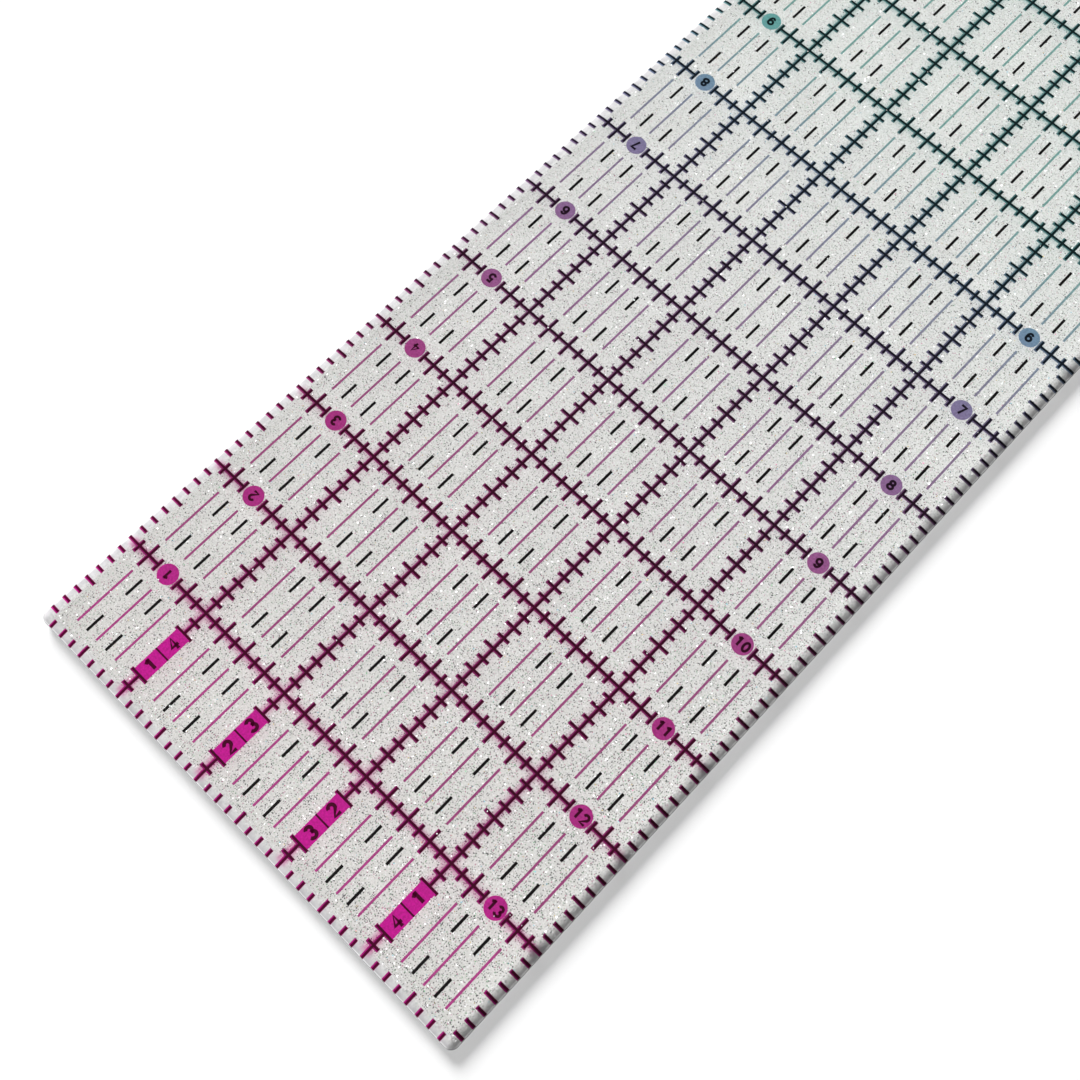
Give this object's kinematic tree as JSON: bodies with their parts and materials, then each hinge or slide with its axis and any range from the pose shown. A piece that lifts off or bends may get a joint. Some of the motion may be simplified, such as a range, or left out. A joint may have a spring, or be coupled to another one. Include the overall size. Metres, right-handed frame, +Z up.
{
  "type": "quilting ruler",
  "caption": "Flat see-through acrylic quilting ruler with bevelled edges, printed with an inch grid, ticks and numbers in ink that fades from magenta to teal.",
  "frame": {"origin": "centre of the flat underside, on the surface that the ruler lies on", "axes": "+X across the width from the left to the right long edge, +Y along the length from the magenta near end to the teal far end, +Z up out of the printed face"},
  "size_m": [0.128, 0.3566, 0.0032],
  "materials": {
    "glitter_acrylic": "glossy see-through acrylic with fine iridescent glitter cast in it",
    "coloured_line_ink": "printed ink that runs from magenta at the near end to teal at the far end",
    "black_ink": "opaque black printed ink",
    "disc_ink_inch_01": "coloured printed ink",
    "disc_ink_inch_02": "coloured printed ink",
    "disc_ink_inch_03": "coloured printed ink",
    "disc_ink_inch_04": "coloured printed ink",
    "disc_ink_inch_05": "coloured printed ink",
    "disc_ink_inch_06": "coloured printed ink",
    "disc_ink_inch_07": "coloured printed ink",
    "disc_ink_inch_08": "coloured printed ink",
    "disc_ink_inch_09": "coloured printed ink",
    "disc_ink_inch_10": "coloured printed ink",
    "disc_ink_inch_11": "coloured printed ink",
    "disc_ink_inch_12": "coloured printed ink",
    "disc_ink_inch_13": "coloured printed ink",
    "box_ink_near": "coloured printed ink",
    "box_ink_far": "coloured printed ink"
  },
  "bodies": {
    "root": {"acrylic_sheet": "glitter_acrylic", "colour_line_print": "coloured_line_ink", "black_line_print": "black_ink", "number_disc_left_01": "disc_ink_inch_01", "number_disc_left_02": "disc_ink_inch_02", "number_disc_left_03": "disc_ink_inch_03", "number_disc_left_04": "disc_ink_inch_04", "number_disc_left_05": "disc_ink_inch_05", "number_disc_left_06": "disc_ink_inch_06", "number_disc_left_07": "disc_ink_inch_07", "number_disc_left_08": "disc_ink_inch_08", "number_disc_left_09": "disc_ink_inch_09", "number_disc_left_10": "disc_ink_inch_10", "number_disc_left_11": "disc_ink_inch_11", "number_disc_left_12": "disc_ink_inch_12", "number_disc_left_13": "disc_ink_inch_13", "number_disc_right_01": "disc_ink_inch_13", "number_disc_right_02": "disc_ink_inch_12", "number_disc_right_03": "disc_ink_inch_11", "number_disc_right_04": "disc_ink_inch_10", "number_disc_right_05": "disc_ink_inch_09", "number_disc_right_06": "disc_ink_inch_08", "number_disc_right_07": "disc_ink_inch_07", "number_disc_right_08": "disc_ink_inch_06", "number_disc_right_09": "disc_ink_inch_05", "number_disc_right_10": "disc_ink_inch_04", "number_disc_right_11": "disc_ink_inch_03", "number_disc_right_12": "disc_ink_inch_02", "number_disc_right_13": "disc_ink_inch_01", "label_box_near_1": "box_ink_near", "label_box_near_2": "box_ink_near", "label_box_near_3": "box_ink_near", "label_box_near_4": "box_ink_near", "label_box_far_1": "box_ink_far", "label_box_far_2": "box_ink_far", "label_box_far_3": "box_ink_far", "label_box_far_4": "box_ink_far"}
  },
  "joints": []
}
